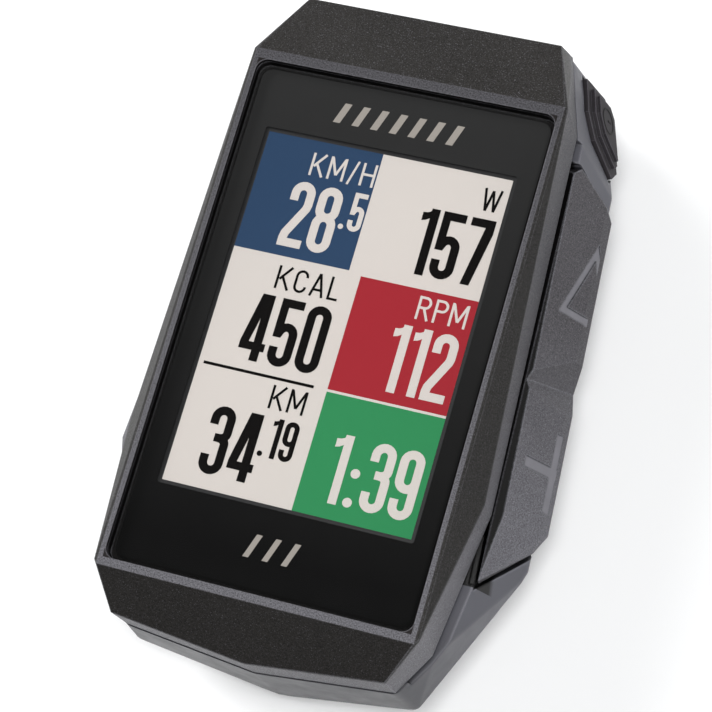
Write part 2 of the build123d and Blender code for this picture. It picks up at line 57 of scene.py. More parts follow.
SCREEN_SIZE = (26.0 * MM, 37.6 * MM)
SCREEN_CENTRE = (0.0, 1.05 * MM)
LAYER = 0.015 * MM  # thickness of one printed or displayed layer
MASK_WINDOW = (26.8 * MM, 38.4 * MM)
LENS_WELL = (15.93 * MM, 26.88 * MM)  # half size of the opening that the lens lies in

# A side key's main face, on the right side: the direction it faces and its distance from the
# origin along that direction. Its marks are cut MARK_DEPTH into it.
KEY_FACE_NORMAL = (0.8763, 0.0582, 0.4783)
KEY_FACE_DISTANCE = 23.471 * MM
MARK_DEPTH = 0.15 * MM

# The floor of a key's pocket, on the right side, in the same way. POCKET_FADE is the height above
# it over which the shadow colour ends, and POCKET_REACH is where the pocket starts and ends in Y.
POCKET_NORMAL = (0.9978, 0.0663, 0.0)
POCKET_DISTANCE = 16.68 * MM
POCKET_FADE = (1.7 * MM, 2.0 * MM)
POCKET_REACH = (-19.6 * MM, 25.6 * MM)

# The middle of the symbol on the power button, and the direction it faces.
SYMBOL_CENTRE = (18.231 * MM, 32.230 * MM, 9.368 * MM)
POWER_NORMAL = (0.912, 0.323, 0.253)

# ---- Settings that the materials share -----------------------------------------------------

SHADER_SAMPLES = 6  # for softened edges and for crevices
EDGE_BEND = (0.995, 0.93)  # agreement of the softened and the flat normal, off and on an edge
CREVICE_OPENING = (0.25, 0.8)  # share of open sky in a deep crevice, and where one begins
CREVICE_SHARE = 0.12  # share of its colour that a deep crevice keeps under the painted shade
GRAIN = 0.15 * MM  # size of the speckle in the textured plastics
WELL_SHADOW = "#120d0d"  # the walls round the lens

# ---- Small helpers -------------------------------------------------------------------------


def linear(code):
    """A colour written as #rrggbb, as linear values and full cover."""
    parts = [int(code[i:i + 2], 16) / 255 for i in (1, 3, 5)]
    values = [c / 12.92 if c <= 0.04045 else ((c + 0.055) / 1.055) ** 2.4 for c in parts]
    return (*values, 1.0)


def shaded(colour, share):
    """A linear colour made darker, or lighter where share is above one."""
    return (*[min(c * share, 1.0) for c in colour[:3]], 1.0)


class Finish:
    """A procedural material, with short calls for the nodes that it is made of."""

    def __init__(self, name):
        self.material = bpy.data.materials.new(name)
        self.material.use_nodes = True
        self.tree = self.material.node_tree
        self.shader = self.tree.nodes["Principled BSDF"]
        self.place = self.node("ShaderNodeTexCoord").outputs["Object"]

    def node(self, kind, **settings):
        """A new node of that kind, with its settings."""
        made = self.tree.nodes.new(kind)
        for key, value in settings.items():
            setattr(made, key, value)
        return made

    def feed(self, socket, value):
        """Link another node's output, or set a plain value."""
        if isinstance(value, bpy.types.NodeSocket):
            self.tree.links.new(value, socket)
        else:
            socket.default_value = value

    def noise(self, size, detail=2.0, roughness=0.5, stretch=(1, 1, 1)):
        """Cloudy variation from 0 to 1, with features of about the given size."""
        mapping = self.node("ShaderNodeMapping")
        self.feed(mapping.inputs["Vector"], self.place)
        mapping.inputs["Scale"].default_value = stretch
        made = self.node("ShaderNodeTexNoise")
        self.feed(made.inputs["Vector"], mapping.outputs["Vector"])
        made.inputs["Scale"].default_value = 1 / size
        made.inputs["Detail"].default_value = detail
        made.inputs["Roughness"].default_value = roughness
        return made.outputs["Fac"]

    def calc(self, operation, first, second=0.0):
        """The result of one Math node."""
        made = self.node("ShaderNodeMath", operation=operation)
        self.feed(made.inputs[0], first)
        self.feed(made.inputs[1], second)
        return made.outputs[0]

    def scaled(self, value, low, high, to_low=0.0, to_high=1.0):
        """value taken from one range to another, and clamped."""
        made = self.node("ShaderNodeMapRange", clamp=True)
        self.feed(made.inputs["Value"], value)
        made.inputs["From Min"].default_value = low
        made.inputs["From Max"].default_value = high
        made.inputs["To Min"].default_value = to_low
        made.inputs["To Max"].default_value = to_high
        return made.outputs["Result"]

    def mix(self, factor, first, second):
        """A colour between two, each given as #rrggbb, as linear values or as a node's output."""
        made = self.node("ShaderNodeMix", data_type="RGBA")
        self.feed(made.inputs["Factor"], factor)
        for socket, value in ((made.inputs[6], first), (made.inputs[7], second)):
            self.feed(socket, linear(value) if isinstance(value, str) else value)
        return made.outputs[2]

    def axis(self, index):
        """One coordinate of the surface point, in metres."""
        split = self.node("ShaderNodeSeparateXYZ")
        self.feed(split.inputs[0], self.place)
        return split.outputs[index]

    def dot(self, first, second):
        """The dot product of two vectors."""
        made = self.node("ShaderNodeVectorMath", operation="DOT_PRODUCT")
        self.feed(made.inputs[0], first)
        self.feed(made.inputs[1], second)
        return made.outputs["Value"]

    def facing(self, direction):
        """How far the flat face looks in a direction, from -1 to 1."""
        return self.dot(self.node("ShaderNodeNewGeometry").outputs["True Normal"], direction)

    def within(self, index, half):
        """1 where a coordinate is nearer to zero than half, else 0."""
        return self.calc("LESS_THAN", self.calc("ABSOLUTE", self.axis(index)), half)

    def lens_well(self):
        """1 inside the opening that the lens lies in, else 0."""
        return self.calc("MULTIPLY", self.within(0, LENS_WELL[0]), self.within(1, LENS_WELL[1]))

    def pocket(self):
        """1 on the walls of the pockets that the side keys lie in, else 0. The left pocket is the
        mirror image of the right one, so x counts without its sign."""
        mirrored = self.node("ShaderNodeCombineXYZ")
        self.feed(mirrored.inputs[0], self.calc("ABSOLUTE", self.axis(0)))
        self.feed(mirrored.inputs[1], self.axis(1))
        out = self.calc("SUBTRACT", self.dot(mirrored.outputs[0], POCKET_NORMAL), POCKET_DISTANCE)
        near_floor = self.scaled(out, *POCKET_FADE, 1, 0)
        past_start = self.calc("GREATER_THAN", self.axis(1), POCKET_REACH[0])
        before_end = self.calc("LESS_THAN", self.axis(1), POCKET_REACH[1])
        return self.calc("MULTIPLY", near_floor, self.calc("MULTIPLY", past_start, before_end))

    def edge(self, radius):
        """1 on edges, falling to 0 on flat faces, and the softened normal."""
        soft = self.node("ShaderNodeBevel", samples=SHADER_SAMPLES)
        soft.inputs["Radius"].default_value = radius
        flat = self.node("ShaderNodeNewGeometry").outputs["True Normal"]
        bend = self.dot(soft.outputs["Normal"], flat)
        return self.scaled(bend, *EDGE_BEND), soft.outputs["Normal"]

    def crevice_shade(self, colour, distance):
        """The colour with painted shade, darker where other surfaces come near."""
        near = self.node("ShaderNodeAmbientOcclusion", samples=SHADER_SAMPLES)
        near.inputs["Distance"].default_value = distance
        share = self.scaled(near.outputs["AO"], *CREVICE_OPENING, CREVICE_SHARE, 1.0)
        dimmed = self.node("ShaderNodeVectorMath", operation="SCALE")
        self.feed(dimmed.inputs[0], colour)
        self.feed(dimmed.inputs["Scale"], share)
        return dimmed.outputs["Vector"]

    def bump(self, height, distance, normal=None):
        """A normal that follows small relief, on top of another normal if one is given."""
        made = self.node("ShaderNodeBump")
        self.feed(made.inputs["Height"], height)
        made.inputs["Distance"].default_value = distance
        if normal is not None:
            self.feed(made.inputs["Normal"], normal)
        return made.outputs["Normal"]

    def surface(self, **inputs):
        """Sets the shader's inputs by name, with _ for a space."""
        for key, value in inputs.items():
            self.feed(self.shader.inputs[key.replace("_", " ")], value)
        return self.material


# ---- Materials -----------------------------------------------------------------------------


def speckled(f, dark, light, sparkle):
    """The colour and fine speckle of spark-textured plastic: slow drift, grain and bright dots."""
    speckle = f.scaled(f.noise(GRAIN, detail=3, roughness=0.7), 0.34, 0.66)
    drift = f.noise(9 * MM, detail=2)
    tone = f.calc("ADD", f.calc("MULTIPLY", speckle, 0.7), f.calc("MULTIPLY", drift, 0.3))
    dots = f.scaled(f.noise(GRAIN * 0.7, detail=1), 0.62, 0.74)
    return f.mix(f.calc("MULTIPLY", dots, 0.55), f.mix(tone, dark, light), sparkle), speckle


def textured(f, colour, speckle, roughness, depth, edge_highlight_colour, edge_radius, crevice_shade):
    """Finishes a speckled plastic with painted highlights on its edges, painted shade in its crevices
    and fine relief.
    """
    edge, soft_normal = f.edge(edge_radius)
    # painted highlight: the edges are lightened, in patches, towards a paler colour
    painted_edge_highlight = f.calc("MULTIPLY", edge, f.scaled(f.noise(0.3 * MM, detail=3), 0.3, 0.6, 0.35, 1.0))
    colour = f.crevice_shade(f.mix(painted_edge_highlight, colour, edge_highlight_colour), crevice_shade)
    rough = f.scaled(speckle, 0, 1, roughness + 0.08, roughness - 0.08)
    normal = f.bump(f.noise(GRAIN * 0.8, detail=2), depth, soft_normal)
    return f.surface(Base_Color=colour, Roughness=rough, Normal=normal, Specular_IOR_Level=0.18)


def shell_plastic():
    """The front shell: black bevels, with painted shade where they turn to the lower end and the
    right, a paler flat rim, partly its own finish and partly a painted sheen that fades towards the
    top, and painted shadow on the wall round the lens."""
    f = Finish("shell_speckle")
    colour, speckle = speckled(f, "#100f0e", "#3a3836", "#85838a")
    # painted shade: faces turned to the lower end and the right are darkened
    painted_shade_side = f.scaled(f.facing((0.55, -1, 0)), 0.2, 0.6, 0, 0.85)
    colour = f.mix(painted_shade_side, colour, f.mix(speckle, "#060504", "#1f1d1c"))
    # painted light: the flat rim is darker towards the top and paler towards the bottom
    painted_light_rise = f.scaled(f.axis(1), -28 * MM, 28 * MM)
    rim_dark = f.mix(painted_light_rise, "#38373b", "#262528")
    rim_light = f.mix(painted_light_rise, "#727176", "#555458")
    rim = f.mix(speckle, rim_dark, rim_light)
    # the flat rim's paler tone is partly its own finish and partly a painted sheen
    colour = f.mix(f.scaled(f.facing((0, 0, 1)), 0.985, 0.995), colour, rim)
    colour = f.mix(f.lens_well(), colour, WELL_SHADOW)
    return textured(f, colour, speckle, 0.5, 0.03 * MM, "#6c6b70", 0.22 * MM, 0.8 * MM)


def frame_finish():
    """The frame round the front shell: the same plastic, paler, with painted light that makes it
    palest at the lower end.
    """
    f = Finish("frame_speckle")
    upper, speckle = speckled(f, "#222124", "#5c5b5f", "#9a99a0")
    lower, _ = speckled(f, "#38373b", "#78777c", "#aaa9b0")
    # painted light: a paler, lit copy of the plastic is blended in towards the lower end
    colour = f.mix(f.scaled(f.axis(1), 4 * MM, -20 * MM), upper, lower)
    colour = f.mix(f.lens_well(), colour, WELL_SHADOW)
    return textured(f, colour, speckle, 0.5, 0.03 * MM, "#8e8e94", 0.2 * MM, 0.9 * MM)


def key_finish(name, side):
    """A side key, right for side 1 and left for side -1: speckled plastic with painted light that
    makes it paler towards its lower end, painted shade in the hollow of its saddle and next to the
    case, and paler floors in the marks of its main face."""
    f = Finish(name)
    upper, speckle = speckled(f, "#29272a", "#59575b", "#8e8d92")
    lower, _ = speckled(f, "#3b3a3e", "#76757b", "#a3a2a8")
    # painted light: a paler, lit copy of the plastic is blended in towards the lower end
    colour = f.mix(f.scaled(f.axis(1), 10 * MM, -12 * MM), upper, lower)
    # painted shade on the faces of the saddle that turn downwards
    hollow = f.scaled(f.facing((0, -1, 0)), 0.25, 0.5, 0, 0.65)
    colour = f.mix(hollow, colour, "#1e1c1d")
    # painted shade on the faces turned towards the case
    case_side_shade = f.scaled(f.facing((-0.8 * side, 0, 0.6)), 0.3, 0.6)
    colour = f.mix(case_side_shade, colour, "#0d0c0c")
    facing = (side * KEY_FACE_NORMAL[0], *KEY_FACE_NORMAL[1:])
    floor_distance = KEY_FACE_DISTANCE - MARK_DEPTH
    off_floor = f.calc("ABSOLUTE", f.calc("SUBTRACT", f.dot(f.place, facing), floor_distance))
    at_depth = f.calc("LESS_THAN", off_floor, 0.5 * MARK_DEPTH)
    mark = f.calc("MULTIPLY", at_depth, f.scaled(f.facing(facing), 0.99, 0.997))
    colour = f.mix(mark, colour, f.mix(f.noise(1.5 * MM, detail=2), "#6c6b70", "#7c7b81"))
    return textured(f, colour, speckle, 0.52, 0.025 * MM, "#77777d", 0.3 * MM, 0.8 * MM)


def rear_finish():
    """The rear case: satin plastic with faint flow marks and fingerprints in its gloss, painted
    highlights on its edges, painted shade towards its lower end and painted shadow, black, in the
    pockets of the keys."""
    f = Finish("rear_satin")
    colour = f.mix(f.noise(6 * MM, detail=3), "#4a4a50", "#56565e")
    edge, soft_normal = f.edge(0.4 * MM)
    # painted highlight on the edges
    colour = f.mix(f.calc("MULTIPLY", edge, 0.35), colour, "#9a9aa2")
    # painted shade: darker towards the lower end, whose faces turn away from the light
    low_end_shade = f.scaled(f.axis(1), -22 * MM, -32 * MM, 0, 0.75)
    colour = f.mix(low_end_shade, colour, "#2c2c30")
    # painted shadow, black, in the pockets of the keys, and painted shade in crevices
    colour = f.crevice_shade(f.mix(f.pocket(), colour, "#070606"), 1.0 * MM)
    smudge = f.scaled(f.noise(3 * MM, detail=5, roughness=0.6), 0.3, 0.7, 0.37, 0.49)
    normal = f.bump(f.noise(0.12 * MM, detail=2), 0.002 * MM, soft_normal)
    return f.surface(Base_Color=colour, Roughness=smudge, Normal=normal, Specular_IOR_Level=0.35)


def soft_rubber(name, dark, light, edge_highlight_colour=None):
    """Matt rubber with cloudy tone, a little dust, painted highlights on its edges and painted
    shade in its crevices.
    """
    f = Finish(name)
    grain = 0.25 * MM
    colour = f.mix(f.noise(2 * MM, detail=4), dark, light)
    dust = f.scaled(f.noise(grain, detail=3, roughness=0.7), 0.55, 0.8, 0, 0.5)
    colour = f.mix(dust, colour, light)
    edge, soft_normal = f.edge(0.12 * MM)
    # painted highlight on the edges
    colour = f.mix(f.calc("MULTIPLY", edge, 0.8), colour, edge_highlight_colour or light)
    normal = f.bump(f.noise(grain, detail=3), 0.01 * MM, soft_normal)
    colour = f.crevice_shade(colour, 0.6 * MM)
    return f.surface(Base_Color=colour, Roughness=0.72, Normal=normal, Specular_IOR_Level=0.3)


def machined_steel(name, colour, roughness=0.3):
    """Bright metal with fine turning lines."""
    f = Finish(name)
    lines = f.noise(0.15 * MM, detail=3, stretch=(1, 1, 8))
    tone = f.mix(f.scaled(lines, 0.3, 0.7), colour, "#e4e4e6")
    rough = f.scaled(lines, 0.3, 0.7, roughness - 0.08, roughness + 0.12)
    normal = f.bump(lines, 0.004 * MM, f.edge(0.1 * MM)[1])
    return f.surface(Base_Color=tone, Metallic=1.0, Roughness=rough, Normal=normal)


def circuit_board(name):
    """Green solder mask over copper tracks, seen as slightly raised lines."""
    f = Finish(name)
    grid = f.node("ShaderNodeTexBrick")
    grid.inputs["Scale"].default_value = 1 / (6 * MM)
    grid.inputs["Mortar Size"].default_value = 0.06
    f.feed(grid.inputs["Vector"], f.place)
    tracks = f.calc("SUBTRACT", 1.0, grid.outputs["Fac"])
    colour = f.mix(tracks, "#2f7a4c", "#174a2c")
    return f.surface(Base_Color=colour, Roughness=0.35, Normal=f.bump(tracks, -0.03 * MM))


def printed(name, colour, roughness=0.6):
    """Flat ink or a displayed colour, with a faint grid of display dots."""
    f = Finish(name)
    pitch = 0.11 * MM
    waves = [f.calc("SINE", f.calc("MULTIPLY", f.axis(i), 2 * math.pi / pitch)) for i in (0, 1)]
    dots = f.scaled(f.calc("ADD", *waves), -2, 2)
    shade = f.calc("MULTIPLY", dots, f.noise(0.3 * MM, detail=2))
    tone = f.mix(shade, shaded(linear(colour), 0.97), shaded(linear(colour), 1.06))
    return f.surface(Base_Color=tone, Roughness=roughness, Specular_IOR_Level=0.03)


def printed_mask():
    """The black print behind the lens, with a painted reflection that makes it a little greyer
    towards the top of the device.
    """
    f = Finish("mask_black")
    # painted reflection: greyer towards the top
    painted_light_rise = f.scaled(f.axis(1), -23 * MM, 25 * MM)
    drift = f.scaled(f.noise(3 * MM, detail=3), 0, 1, 0.94, 1.06)
    low, high = shaded(linear("#141414"), 0.75), shaded(linear("#313131"), 0.9)
    colour = f.mix(f.calc("MULTIPLY", painted_light_rise, drift), low, high)
    return f.surface(Base_Color=colour, Roughness=0.7, Specular_IOR_Level=0.02)


def coated_glass():
    """Clear glass with an anti-glare coat: it lets light straight through and reflects softly."""
    f = Finish("lens_glass")
    clear = f.node("ShaderNodeBsdfTransparent")
    clear.inputs["Color"].default_value = (0.97, 0.97, 0.97, 1)
    gloss = f.node("ShaderNodeBsdfGlossy")
    smear = f.scaled(f.noise(4 * MM, detail=5, roughness=0.65), 0.3, 0.7, 0.16, 0.24)
    f.feed(gloss.inputs["Roughness"], smear)
    normal = f.bump(f.noise(0.1 * MM, detail=2), 0.0006 * MM)
    f.feed(gloss.inputs["Normal"], normal)
    fresnel = f.node("ShaderNodeFresnel")
    fresnel.inputs["IOR"].default_value = 1.33
    coat_share = 0.35  # share of its reflection that the coat leaves
    both = f.node("ShaderNodeMixShader")
    f.feed(both.inputs[0], f.calc("MULTIPLY", fresnel.outputs[0], coat_share))
    f.feed(both.inputs[1], clear.outputs[0])
    f.feed(both.inputs[2], gloss.outputs[0])
    out = f.tree.nodes["Material Output"]
    f.feed(out.inputs["Surface"], both.outputs[0])
    return f.material


def flat_finish(name, first, second, size, roughness, metallic=0.0):
    """A plain mottled finish for parts inside the case."""
    f = Finish(name)
    colour = f.mix(f.noise(size, detail=4), first, second)
    normal = f.bump(f.noise(size * 0.3, detail=2), size * 0.01, f.edge(0.1 * MM)[1])
    return f.surface(Base_Color=colour, Roughness=roughness, Metallic=metallic, Normal=normal)


shell = shell_plastic()
frame_plastic = frame_finish()
right_key_plastic = key_finish("right_key_speckle", 1)
left_key_plastic = key_finish("left_key_speckle", -1)
rear_plastic = rear_finish()
button_rubber = soft_rubber("button_rubber", "#1f1c1f", "#363236", edge_highlight_colour="#6a676e")
black_rubber = soft_rubber("black_rubber", "#161616", "#2c2c2c")
screw_steel = machined_steel("screw_steel", "#8e8e92")
bright_steel = machined_steel("bright_steel", "#b6b6ba", 0.35)
board_green = circuit_board("board_green")
dark_moulding = flat_finish("dark_moulding", "#1b1b1d", "#2a2a2c", 1.5 * MM, 0.55)
foot_nylon = flat_finish("foot_nylon", "#202022", "#313134", 0.8 * MM, 0.5)
light_moulding = flat_finish("light_moulding", "#d8d0bc", "#e8e2d2", 1.5 * MM, 0.4)
chip_resin = flat_finish("chip_resin", "#17171a", "#26262a", 0.4 * MM, 0.6)
foil = flat_finish("battery_foil", "#9a9ca2", "#c4c6ca", 2.5 * MM, 0.35, metallic=0.9)
copper_film = flat_finish("copper_film", "#9a5f22", "#c07c34", 0.8 * MM, 0.35)
brass = flat_finish("brass", "#a5823c", "#c39e52", 0.6 * MM, 0.3, metallic=1.0)
antenna_ceramic = flat_finish("antenna_ceramic", "#cfc5b4", "#e2dacb", 0.5 * MM, 0.45)
membrane_cloth = flat_finish("membrane_cloth", "#cfcfcf", "#ececec", 0.1 * MM, 0.9)
red_wire = flat_finish("red_wire", "#7a1414", "#a02020", 0.5 * MM, 0.4)
panel_black = flat_finish("panel_black", "#0e0e0f", "#19191a", 1.0 * MM, 0.4)
mask_black = printed_mask()
lens_glass = coated_glass()

NODE_FINISH = {
    "front_bezel": shell, "front_frame": frame_plastic, "rear_case": rear_plastic,
    "case_seal": black_rubber, "cover_lens": lens_glass, "lens_tape": black_rubber,
    "display_panel": panel_black, "backlight": light_moulding, "display_carrier": dark_moulding,
    "display_flex": copper_film, "display_connector": light_moulding, "main_board": board_green,
    "processor_chip": chip_resin, "memory_chip": chip_resin, "shield_can": bright_steel,
    "radio_module": bright_steel, "gnss_antenna": antenna_ceramic, "pressure_sensor": bright_steel,
    "vent_membrane": membrane_cloth, "buzzer": brass, "battery": foil, "battery_pad": black_rubber,
    "battery_leads": red_wire, "battery_plug": light_moulding, "usb_connector": bright_steel,
    "usb_flap": black_rubber, "usb_flap_anchor": black_rubber, "right_key": right_key_plastic,
    "left_key": left_key_plastic, "right_key_pin": bright_steel, "left_key_pin": bright_steel,
    "right_key_membrane": black_rubber, "left_key_membrane": black_rubber,
    "right_side_board": board_green, "left_side_board": board_green, "side_switches": bright_steel,
    "power_button": button_rubber, "power_plunger": dark_moulding, "power_switch": dark_moulding,
    "twist_foot": foot_nylon, "foot_screws": screw_steel, "case_screws": screw_steel,
    "board_screws": screw_steel,
}
for name, material in NODE_FINISH.items():
    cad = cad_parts[name]
    cad.data.materials.clear()
    cad.data.materials.append(material)


def soften(name, width):
    """Rounds a CAD node's ridges with modifiers, which leave its own mesh alone."""
    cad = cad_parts[name]
    weld = cad.modifiers.new("weld", "WELD")
    weld.merge_threshold = 0.002 * MM
    planar = cad.modifiers.new("planar", "DECIMATE")
    planar.decimate_type = "DISSOLVE"
    planar.angle_limit = math.radians(0.5)
    bevel = cad.modifiers.new("bevel", "BEVEL")
    bevel.width = width
    bevel.segments = 3
    bevel.limit_method = "ANGLE"
    bevel.angle_limit = math.radians(12)
    bevel.harden_normals = True


# ---- Flat printed shapes -------------------------------------------------------------------


def ribbon(points, width, closed=False):
    """Quads along a line of points, with mitred turns."""
    points = [Vector(p) for p in points]
    count = len(points)
    left, right = [], []
    for i, point in enumerate(points):
        before = points[i - 1] if closed or i else None
        after = points[(i + 1) % count] if closed or i < count - 1 else None
        ways = []
        if before is not None:
            ways.append((point - before).normalized())
        if after is not None:
            ways.append((after - point).normalized())
        along = sum(ways, Vector((0, 0))).normalized()
        side = Vector((-along.y, along.x)) * (width / 2 / max(along.dot(ways[0]), 0.35))
        left.append(point + side)
        right.append(point - side)
    last = count if closed else count - 1
    return [[left[i], right[i], right[(i + 1) % count], left[(i + 1) % count]] for i in range(last)]


def arc(centre, radius, start, end, steps=10):
    """Points on an ellipse's arc, from one angle to another in degrees."""
    turns = [math.radians(start + (end - start) * i / steps) for i in range(steps + 1)]
    return [(centre[0] + radius[0] * math.cos(a), centre[1] + radius[1] * math.sin(a)) for a in turns]


def rounded(width, height, radius, steps=6):
    """The outline of a rectangle with round corners, about the origin."""
    x, y = width / 2 - radius, height / 2 - radius
    points = []
    for turn, (cx, cy) in enumerate(((x, y), (-x, y), (-x, -y), (x, -y))):
        points += arc((cx, cy), (radius, radius), 90 * turn, 90 * turn + 90, steps)
    return points


def plate(name, polygons, low, high, material, transform=Matrix.Identity(4), hole=None):
    """One closed flat solid over the union of the polygons, less a hole, between two heights."""
    coords, faces = [], []
    for polygon in polygons + ([hole] if hole else []):
        faces.append(list(range(len(coords), len(coords) + len(polygon))))
        coords += [Vector(p[:2]) / MM for p in polygon]
    found = delaunay_2d_cdt(coords, [], faces, 1, 1e-5)
    flat, triangles, origins = found[0], found[2], found[5]
    # A triangle in a gap that the polygons enclose comes from none of them, so it is dropped.
    left_out = len(faces) - 1 if hole else -1
    triangles = [t for t, o in zip(triangles, origins) if o and left_out not in o]
    edges = [edge for t in triangles for edge in zip(t, t[1:] + t[:1])]
    known = set(edges)
    rim = [(a, b) for a, b in edges if (b, a) not in known]
    count = len(flat)
    points = [Vector((p.x * MM, p.y * MM, z)) for z in (low, high) for p in flat]
    solid = [[v + count for v in t] for t in triangles] + [list(reversed(t)) for t in triangles]
    solid += [[a, b, b + count, a + count] for a, b in rim]
    mesh = bpy.data.meshes.new(name)
    mesh.from_pydata([transform @ p for p in points], [], solid)
    mesh.validate()
    mesh.materials.append(material)
    piece = bpy.data.objects.new(name, mesh)
    bpy.context.scene.collection.objects.link(piece)
    tidy_loose(mesh)
    return piece


def tidy_loose(mesh):
    """Removes points that no face uses."""
    work = bmesh.new()
    work.from_mesh(mesh)
    bmesh.ops.delete(work, geom=[v for v in work.verts if not v.link_faces], context="VERTS")
    bmesh.ops.recalc_face_normals(work, faces=work.faces)
    work.to_mesh(mesh)
    work.free()


def moved(polygons, x, y, scale=1.0):
    """Polygons scaled about the origin, then shifted."""
    return [[(x + scale * p[0], y + scale * p[1]) for p in polygon] for polygon in polygons]


# ---- Characters ----------------------------------------------------------------------------
# Every character is drawn one unit high, as overlapping strokes.

DIGIT_WIDTH = 0.355
DIGIT_STROKE = 0.125


def digit(name):
    """The polygons of one digit or point, and its width."""
    w, t = DIGIT_WIDTH, DIGIT_STROKE
    left, right, mid = t / 2, w - t / 2, w / 2
    low, high = t / 2, 1 - t / 2
    r = right - mid
    round_end = (r, r)
    if name == "0":
        ring = arc((mid, high - r), round_end, 0, 180) + arc((mid, low + r), round_end, 180, 360)
        return ribbon(ring, t, closed=True), w
    if name == "1":
        stem = [(0.115, 0), (0.24, 0), (0.24, 1), (0.115, 1)]
        flag = [(0, 0.80), (0.06, 0.815), (0.115, 0.85), (0.24, 1)]
        flag += [(0.13, 1), (0.105, 0.95), (0.06, 0.93), (0, 0.925)]
        return [stem, flag], 0.24
    if name == "2":
        path = [(left, 0.70)] + arc((mid, high - r), round_end, 180, 0)
        path += [(right, 0.66), (right - 0.012, 0.60), (left + 0.012, 0.2), (left, 0.13), (left, 0.0)]
        return ribbon(path, t) + [[(0, 0), (w, 0), (w, t), (0, t)]], w
    if name == "3":
        upper = [(left, 0.72)] + arc((mid, high - r), round_end, 180, 0)
        upper += [(right, 0.64)] + arc((mid + 0.02, 0.62), (r - 0.02, 0.085), 0, -90, 5)
        lower = arc((mid + 0.02, 0.45), (r - 0.02, 0.085), 90, 0, 5)
        lower += [(right, 0.4)] + arc((mid, low + r), round_end, 0, -180) + [(left, 0.28)]
        waist = [(0.12, 0.475), (0.24, 0.475), (0.24, 0.595), (0.12, 0.595)]
        return ribbon(upper, t) + ribbon(lower, t) + [waist], w
    if name == "4":
        stem = [(0.2, 0), (0.325, 0), (0.325, 1), (0.2, 1)]
        slope = [(0, 0.27), (0.125, 0.27), (0.27, 1), (0.135, 1)]
        crossbar = [(0, 0.155), (0.38, 0.155), (0.38, 0.275), (0, 0.275)]
        return [stem, slope, crossbar], 0.38
    if name == "5":
        bowl = [(left, 0.45)] + arc((mid + 0.01, 0.62 - r - t / 2 + 0.03), (r - 0.01, r), 150, 0, 8)
        bowl += arc((mid, low + r), round_end, 0, -180) + [(left, 0.28)]
        back = [(0, 0.42), (t * 0.95, 0.42), (t * 0.95, 1), (0, 1)]
        top = [(0, 1 - t), (w * 0.96, 1 - t), (w * 0.96, 1), (0, 1)]
        return ribbon(bowl, t) + [back, top], w
    if name == "7":
        slope = [(0.075, 0), (0.205, 0), (0.35, 0.8), (0.35, 0.9), (0.225, 0.9)]
        return [slope, [(0, 1 - t), (0.35, 1 - t), (0.35, 1), (0, 1)]], 0.35
    if name == "8":
        waist = 0.535
        upper = arc((mid, high - r), round_end, 0, 180) + arc((mid, waist + r), round_end, 180, 360)
        lower = arc((mid, waist - r), round_end, 0, 180) + arc((mid, low + r), round_end, 180, 360)
        return ribbon(upper, t, closed=True) + ribbon(lower, t, closed=True), w
    if name == "9":
        loop = arc((mid, high - r), round_end, 0, 180) + arc((mid, 0.44 + r), round_end, 180, 360)
        tail = [(right, high - r)] + arc((mid, low + r), round_end, 0, -180) + [(left, 0.28)]
        return ribbon(loop, t, closed=True) + ribbon(tail, t), w
    dot = [arc((0.07, 0.07), (0.07, 0.07), 0, 360, 12)[:-1]]
    if name == ":":
        return moved(dot, 0.02, 0) + moved(dot, 0.02, 0.42), 0.18
    return dot, 0.14


LETTER_STROKE = 0.105


def strokes(lines):
    """Straight strokes of a letter, one for each line."""
    return [quad for line in lines for quad in ribbon(line, LETTER_STROKE)]


def letter(name):
    """The polygons of one capital letter, and its width."""
    t = LETTER_STROKE
    h = t / 2
    if name == "K":
        lines = [[(h, 0), (h, 1)], [(0.575, 1), (0.13, 0.42)], [(0.25, 0.54), (0.58, 0)]]
        return strokes(lines), 0.63
    if name == "M":
        lines = [[(h, 0), (h, 1)], [(0.72 - h, 1), (0.72 - h, 0)]]
        lines += [[(0.075, 0.96), (0.36, 0.22)], [(0.36, 0.22), (0.645, 0.96)]]
        return strokes(lines), 0.72
    if name == "H":
        lines = [[(h, 0), (h, 1)], [(0.61 - h, 0), (0.61 - h, 1)], [(h, 0.51), (0.61 - h, 0.51)]]
        return strokes(lines), 0.61
    if name == "/":
        return ribbon([(0.06, -0.06), (0.34, 1.0)], t * 0.9), 0.4
    if name == "W":
        path = [(0.07, 1), (0.235, 0.03), (0.41, 0.93), (0.585, 0.03), (0.75, 1)]
        return strokes(zip(path, path[1:])), 0.82
    if name == "C":
        path = [(0.5, 0.7)] + arc((0.28, 0.72), (0.22, 0.22), 0, 180)
        path += arc((0.28, 0.28), (0.22, 0.22), 180, 360) + [(0.5, 0.3)]
        return ribbon(path, t), 0.56
    if name == "A":
        lines = [[(0.06, 0), (0.31, 1)], [(0.31, 1), (0.58, 0)], [(0.14, 0.3), (0.5, 0.3)]]
        return strokes(lines), 0.64
    if name == "L":
        return strokes([[(h, 0), (h, 1)], [(h, h), (0.45, h)]]), 0.45
    bowl = [(h, 1 - h)] + arc((0.3, 0.73), (0.2, 0.27 - h), 90, -90) + [(h, 0.46 + h)]
    shape_of_p = ribbon(bowl, t) + strokes([[(h, 0), (h, 1)]])
    if name == "R":
        return shape_of_p + strokes([[(0.28, 0.5), (0.52, 0)]]), 0.57
    return shape_of_p, 0.52


def word(text, draw, gap, height, right_edge, base):
    """The polygons of a word that ends at right_edge and stands on base."""
    glyphs = [draw(c) for c in text]
    width = sum(w for _, w in glyphs) + gap * (len(glyphs) - 1)
    x = right_edge - width * height
    polygons = []
    for shapes, glyph_width in glyphs:
        polygons += moved(shapes, x, base, height)
        x += (glyph_width + gap) * height
    return polygons


# ---- The screen ----------------------------------------------------------------------------

